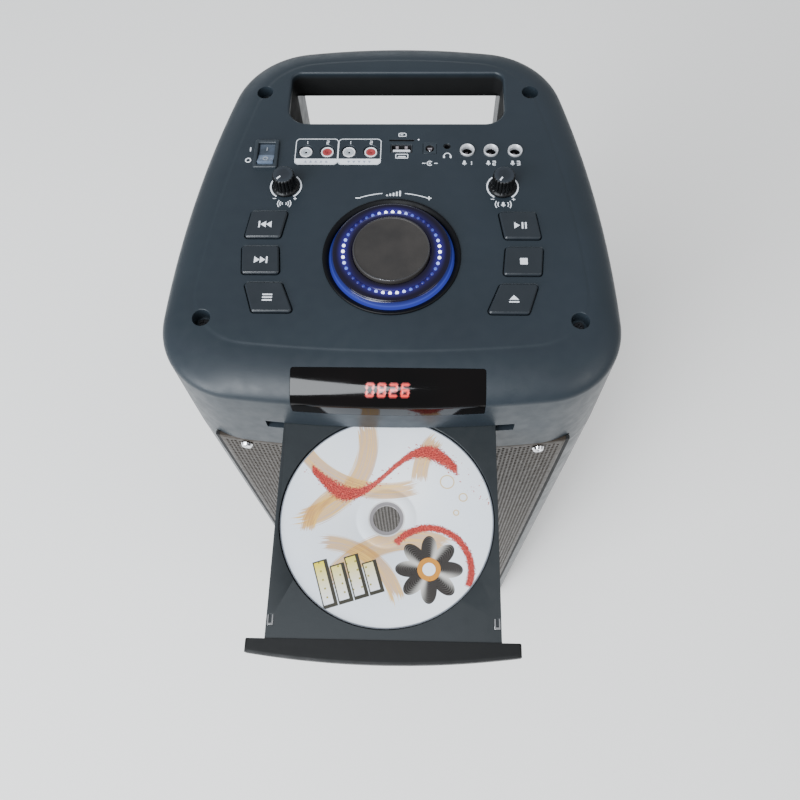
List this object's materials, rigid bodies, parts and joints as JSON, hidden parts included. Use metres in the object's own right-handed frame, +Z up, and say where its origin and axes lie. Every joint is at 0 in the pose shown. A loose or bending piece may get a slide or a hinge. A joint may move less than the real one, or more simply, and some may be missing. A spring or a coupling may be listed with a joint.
{
  "type": "karaoke machine",
  "caption": "Tower karaoke speaker with a sliding disc tray, a top control panel with a lit volume dial, sockets and push buttons, and a rear carrying handle.",
  "frame": {"origin": "on the floor, under the middle of the body's footprint and in its left-right symmetry plane", "axes": "+Z up, -Y towards the grille and the disc tray, +X to the right as seen from the front"},
  "size_m": [0.2706, 0.408, 0.7119],
  "materials": {
    "shell_black": "satin moulded charcoal",
    "frame_black": "matt",
    "grille_mesh": "perforated, satin black paint",
    "chrome": "polished",
    "black_screw": "black oxide",
    "board_wood": "raw fibreboard",
    "driver_steel": "stamped and painted",
    "paper_cone": "pressed pulp cone",
    "surround_rubber": "matt",
    "ferrite": "ground ferrite",
    "horn_plastic": "moulded",
    "foot_rubber": "matt",
    "display_glass": "smoked, glossy",
    "circuit_green": "solder mask",
    "trim_black": "glossy",
    "blue_light": "lit diffuser",
    "led_white": "lit",
    "part_metal": "pressed",
    "volume_cap": "satin with a bright edge",
    "knob_black": "fluted",
    "rocker_black": "satin",
    "button_black": "satin with printed symbol",
    "jack_white": "moulded",
    "jack_red": "moulded",
    "usb_steel": "tinned",
    "socket_black": "moulded",
    "jack_nickel": "nickel",
    "battery_wrap": "shrink sleeve",
    "drive_plastic": "moulded",
    "tray_black": "satin",
    "bezel_black": "matt",
    "disc_white": "printed polycarbonate",
    "gear_white": "acetal",
    "turntable_black": "matt",
    "sled_grey": "moulded"
  },
  "bodies": {
    "body": {"top_shell": "shell_black", "cabinet_shell": "shell_black", "bottom_plate": "frame_black", "feet": "foot_rubber", "front_frame": "frame_black", "grille": "grille_mesh", "grille_screws": "chrome", "front_baffle": "board_wood", "upper_woofer_basket": "driver_steel", "upper_woofer_cone": "paper_cone", "upper_woofer_surround": "surround_rubber", "upper_woofer_magnet": "ferrite", "lower_woofer_basket": "driver_steel", "lower_woofer_cone": "paper_cone", "lower_woofer_surround": "surround_rubber", "lower_woofer_magnet": "ferrite", "tweeter": "horn_plastic", "bass_port": "frame_black", "shell_screws": "black_screw", "display_lens": "display_glass", "display_board": "circuit_green", "control_board": "circuit_green", "dial_trim_ring": "trim_black", "light_ring": "blue_light", "led_ring": "trim_black", "led_dots": "led_white", "volume_encoder": "part_metal", "echo_pot": "part_metal", "mic_volume_pot": "part_metal", "switch_frame": "frame_black", "rca_jacks_white": "jack_white", "rca_jacks_red": "jack_red", "usb_port": "usb_steel", "card_reader": "part_metal", "dc_inlet": "socket_black", "aux_jack": "socket_black", "mic_jacks": "jack_nickel", "amplifier_board": "circuit_green", "battery_pack": "battery_wrap", "drive_chassis": "drive_plastic", "tray_motor": "part_metal"},
    "volume_knob": {"volume_knob": "volume_cap"},
    "echo_knob": {"echo_knob": "knob_black"},
    "mic_volume_knob": {"mic_volume_knob": "knob_black"},
    "power_rocker": {"power_rocker": "rocker_black"},
    "previous_button": {"previous_button": "button_black"},
    "next_button": {"next_button": "button_black"},
    "mode_button": {"mode_button": "button_black"},
    "play_button": {"play_button": "button_black"},
    "stop_button": {"stop_button": "button_black"},
    "eject_button": {"eject_button": "button_black"},
    "tray": {"tray": "tray_black", "tray_bezel": "bezel_black", "tray_clips": "chrome"},
    "disc": {"disc": "disc_white"},
    "drive_gear": {"drive_gear": "gear_white"},
    "deck": {"loader_deck": "drive_plastic"},
    "turntable": {"turntable": "turntable_black"},
    "laser_sled": {"laser_sled": "sled_grey"},
    "disc_clamp": {"disc_clamp": "drive_plastic"}
  },
  "joints": [
    {"name": "volume_turn", "type": "hinge", "parent": "body", "child": "volume_knob", "pos_m": [0, -0.0415, 0.7], "axis": [0, 0, 1], "continuous": true},
    {"name": "echo_turn", "type": "hinge", "parent": "body", "child": "echo_knob", "pos_m": [-0.0672, 0.009, 0.7], "axis": [0, 0, 1], "range_deg": [-150, 150]},
    {"name": "mic_volume_turn", "type": "hinge", "parent": "body", "child": "mic_volume_knob", "pos_m": [0.0672, 0.009, 0.7], "axis": [0, 0, 1], "range_deg": [-150, 150]},
    {"name": "power_rock", "type": "hinge", "parent": "body", "child": "power_rocker", "pos_m": [-0.0818, 0.0342, 0.697], "axis": [1, 0, 0], "range_deg": [0, 20]},
    {"name": "previous_press", "type": "slide", "parent": "body", "child": "previous_button", "axis": [0, 0, -1], "range_m": [0, 0.0012], "stiffness_N_per_m": 600, "springref_m": -0.0008},
    {"name": "next_press", "type": "slide", "parent": "body", "child": "next_button", "axis": [0, 0, -1], "range_m": [0, 0.0012], "stiffness_N_per_m": 600, "springref_m": -0.0008},
    {"name": "mode_press", "type": "slide", "parent": "body", "child": "mode_button", "axis": [0, 0, -1], "range_m": [0, 0.0012], "stiffness_N_per_m": 600, "springref_m": -0.0008},
    {"name": "play_press", "type": "slide", "parent": "body", "child": "play_button", "axis": [0, 0, -1], "range_m": [0, 0.0012], "stiffness_N_per_m": 600, "springref_m": -0.0008},
    {"name": "stop_press", "type": "slide", "parent": "body", "child": "stop_button", "axis": [0, 0, -1], "range_m": [0, 0.0012], "stiffness_N_per_m": 600, "springref_m": -0.0008},
    {"name": "eject_press", "type": "slide", "parent": "body", "child": "eject_button", "axis": [0, 0, -1], "range_m": [0, 0.0012], "stiffness_N_per_m": 600, "springref_m": -0.0008},
    {"name": "tray_slide", "type": "slide", "parent": "body", "child": "tray", "axis": [0, 1, 0], "range_m": [0, 0.132]},
    {"name": "disc_spin", "type": "hinge", "parent": "tray", "child": "disc", "pos_m": [0, -0.1905, 0.66], "axis": [0, 0, 1], "continuous": true},
    {"name": "gear_turn", "type": "hinge", "parent": "body", "child": "drive_gear", "pos_m": [-0.046, -0.104, 0.6556], "axis": [0, 0, 1], "range_deg": [-760, 4]},
    {"name": "deck_lift", "type": "hinge", "parent": "body", "child": "deck", "pos_m": [0, 0.0415, 0.648], "axis": [-1, 0, 0], "range_deg": [0, 4.59]},
    {"name": "turntable_spin", "type": "hinge", "parent": "deck", "child": "turntable", "pos_m": [0, -0.0581, 0.639], "axis": [0, -0.08, 0.9968], "continuous": true},
    {"name": "sled_slide", "type": "slide", "parent": "deck", "child": "laser_sled", "axis": [0, 0.9968, 0.08], "range_m": [0, 0.036]},
    {"name": "clamp_spin", "type": "hinge", "parent": "body", "child": "disc_clamp", "pos_m": [0, -0.0585, 0.667], "axis": [0, 0, 1], "continuous": true}
  ],
  "couplings": [
    {"joint": "gear_turn", "follows": "tray_slide", "rad_per_m": -100},
    {"joint": "clamp_spin", "follows": "turntable_spin", "ratio": 1}
  ]
}
